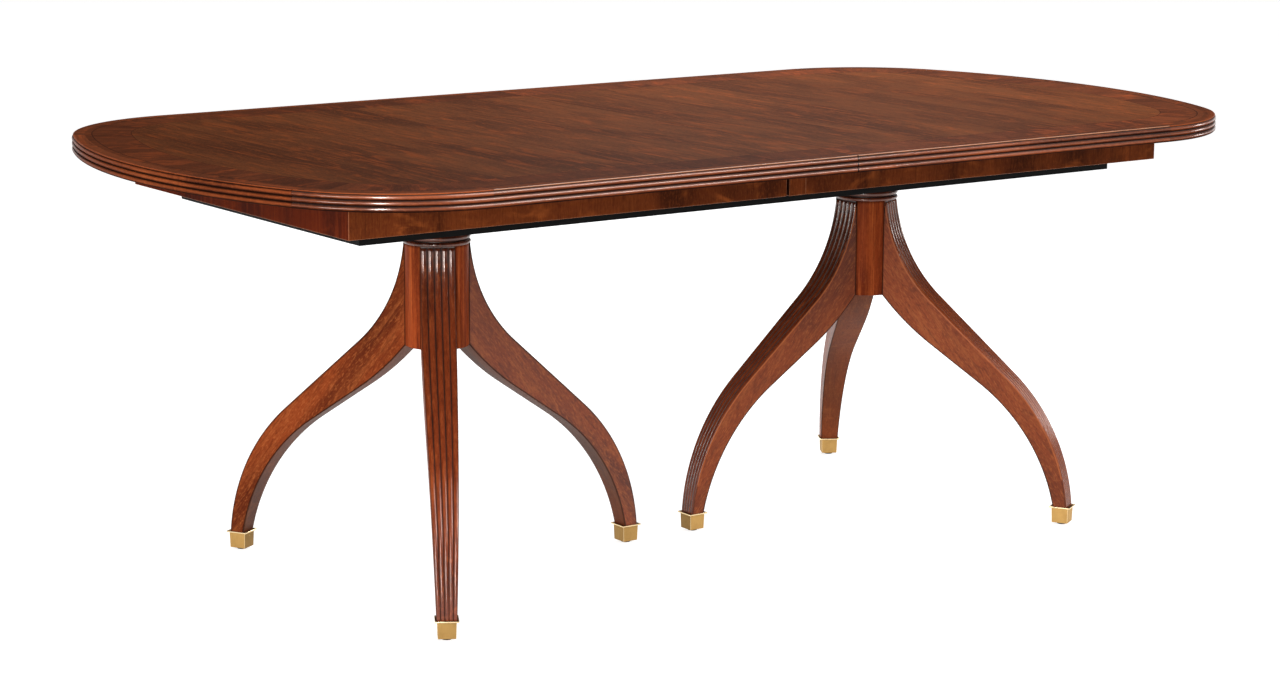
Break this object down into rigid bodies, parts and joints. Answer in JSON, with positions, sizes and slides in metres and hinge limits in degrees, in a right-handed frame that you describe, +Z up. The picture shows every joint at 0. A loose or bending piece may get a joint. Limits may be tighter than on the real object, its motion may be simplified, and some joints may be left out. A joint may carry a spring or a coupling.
{
  "type": "double pedestal dining table",
  "caption": "Extending dining table with a rounded veneered top, reeded edge, shallow apron and two columns on reeded splayed legs with brass cups.",
  "frame": {"origin": "on the floor, under the middle of the closed table", "axes": "+X along the length, the way the right half draws out; +Y across, from the front to the back; +Z up"},
  "size_m": [2.088, 1.1, 0.762],
  "materials": {
    "field_veneer": "satin lacquer on figured mahogany veneer",
    "crossband_veneer": "satin lacquer on crossbanded mahogany veneer",
    "dark_inlay": "dark inlaid string under lacquer",
    "mahogany": "satin lacquer on solid mahogany",
    "apron_veneer": "satin lacquer on mahogany veneer",
    "core_wood": "stained underside",
    "black_paint": "black paint on wood",
    "slide_wood": "waxed hardwood",
    "brass": "satin lacquered brass",
    "steel": "zinc plated steel",
    "glide_plastic": "dark matte plastic"
  },
  "bodies": {
    "left_half": {"apron_back_left": "apron_veneer", "apron_corner_blocks_left": "slide_wood", "apron_end_left": "apron_veneer", "apron_front_left": "apron_veneer", "back_moulding_left": "mahogany", "border_veneer_left": "crossband_veneer", "collar_left": "mahogany", "column_left": "mahogany", "corner_mouldings_left": "mahogany", "end_moulding_left": "mahogany", "field_veneer_left": "field_veneer", "frame_end_rail_left": "black_paint", "frame_side_rails_left": "black_paint", "front_moulding_left": "mahogany", "glides_left": "glide_plastic", "inlay_string_left": "dark_inlay", "leaf_pins": "slide_wood", "leg_left_back": "mahogany", "leg_left_front": "mahogany", "leg_left_inner": "mahogany", "lock_bases": "steel", "pedestal_board_left": "black_paint", "pedestal_bolts_left": "steel", "sabots_left": "brass", "slide_back_left": "slide_wood", "slide_front_left": "slide_wood", "top_core_left": "core_wood"},
    "right_half": {"apron_back_right": "apron_veneer", "apron_corner_blocks_right": "slide_wood", "apron_end_right": "apron_veneer", "apron_front_right": "apron_veneer", "apron_seam_blocks": "apron_veneer", "back_moulding_right": "mahogany", "border_veneer_right": "crossband_veneer", "collar_right": "mahogany", "column_right": "mahogany", "corner_mouldings_right": "mahogany", "end_moulding_right": "mahogany", "field_veneer_right": "field_veneer", "frame_end_rail_right": "black_paint", "frame_side_rails_right": "black_paint", "front_moulding_right": "mahogany", "glides_right": "glide_plastic", "inlay_string_right": "dark_inlay", "leaf_pin_sockets": "brass", "leg_right_back": "mahogany", "leg_right_front": "mahogany", "leg_right_inner": "mahogany", "lock_keepers": "steel", "pedestal_board_right": "black_paint", "pedestal_bolts_right": "steel", "sabots_right": "brass", "slide_back_right": "slide_wood", "slide_front_right": "slide_wood", "top_core_right": "core_wood"},
    "middle_slides": {"slide_back_middle": "slide_wood", "slide_front_middle": "slide_wood"},
    "lock_lever_front": {"lock_lever_front": "steel"},
    "lock_lever_back": {"lock_lever_back": "steel"}
  },
  "joints": [
    {"name": "table_extension", "type": "slide", "parent": "left_half", "child": "right_half", "axis": [1, 0, 0], "range_m": [0, 1.016]},
    {"name": "middle_slide_travel", "type": "slide", "parent": "left_half", "child": "middle_slides", "axis": [1, 0, 0], "range_m": [0, 0.508]},
    {"name": "front_lock", "type": "hinge", "parent": "left_half", "child": "lock_lever_front", "pos_m": [-0.04, -0.12, 0.727], "axis": [0, 0, -1], "range_deg": [0, 90]},
    {"name": "back_lock", "type": "hinge", "parent": "left_half", "child": "lock_lever_back", "pos_m": [-0.04, 0.12, 0.727], "axis": [0, 0, 1], "range_deg": [0, 90]}
  ],
  "couplings": [
    {"joint": "middle_slide_travel", "follows": "table_extension", "ratio": 0.5}
  ]
}
